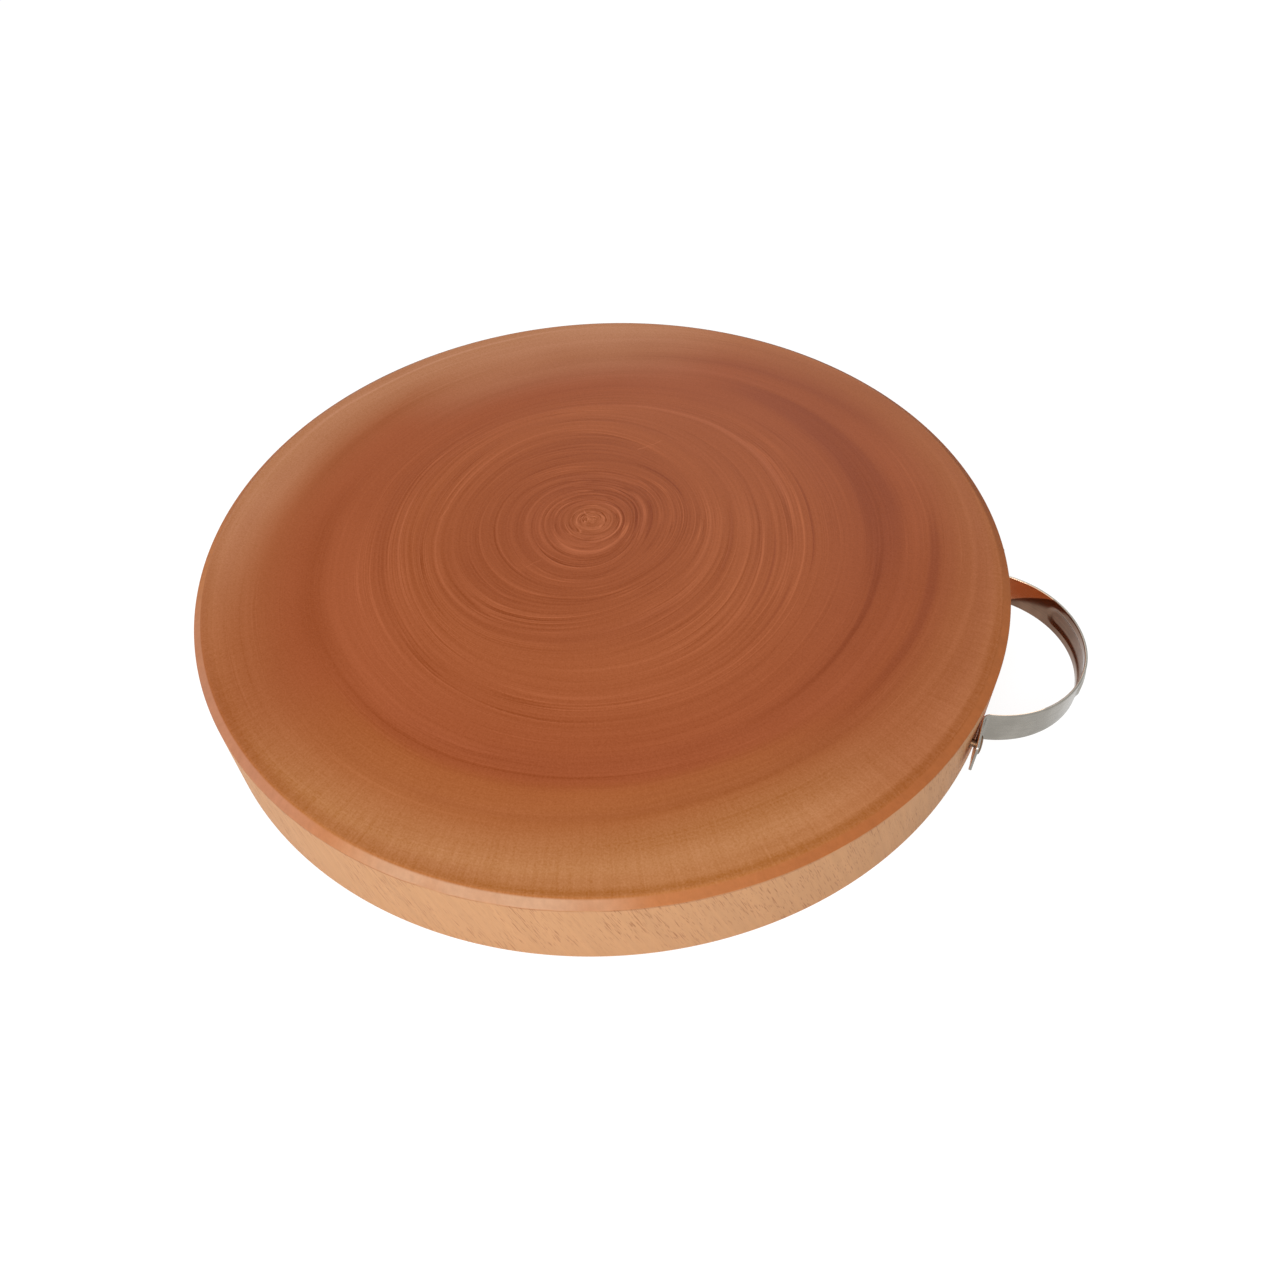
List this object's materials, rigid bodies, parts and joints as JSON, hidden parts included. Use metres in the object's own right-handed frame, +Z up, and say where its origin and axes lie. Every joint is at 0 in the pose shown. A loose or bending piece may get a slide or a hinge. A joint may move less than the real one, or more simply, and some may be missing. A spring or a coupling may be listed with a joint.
{
  "type": "round cutting board",
  "caption": "Round end-grain wooden cutting board with a chamfered rim and a bent steel strap handle screwed to its side.",
  "frame": {"origin": "centre of the board's flat underside", "axes": "+Z up through the board's thickness, +X from the board's centre out through the middle of the handle"},
  "size_m": [0.3948, 0.36, 0.04],
  "materials": {
    "stained_wood": "oiled, satin, end grain on top and paler bare wood round the side",
    "strap_steel": "satin stainless steel",
    "screw_steel": "yellow passivated steel"
  },
  "bodies": {
    "root": {"board": "stained_wood", "handle_strap": "strap_steel", "handle_screw_left": "screw_steel", "handle_screw_right": "screw_steel"}
  },
  "joints": []
}
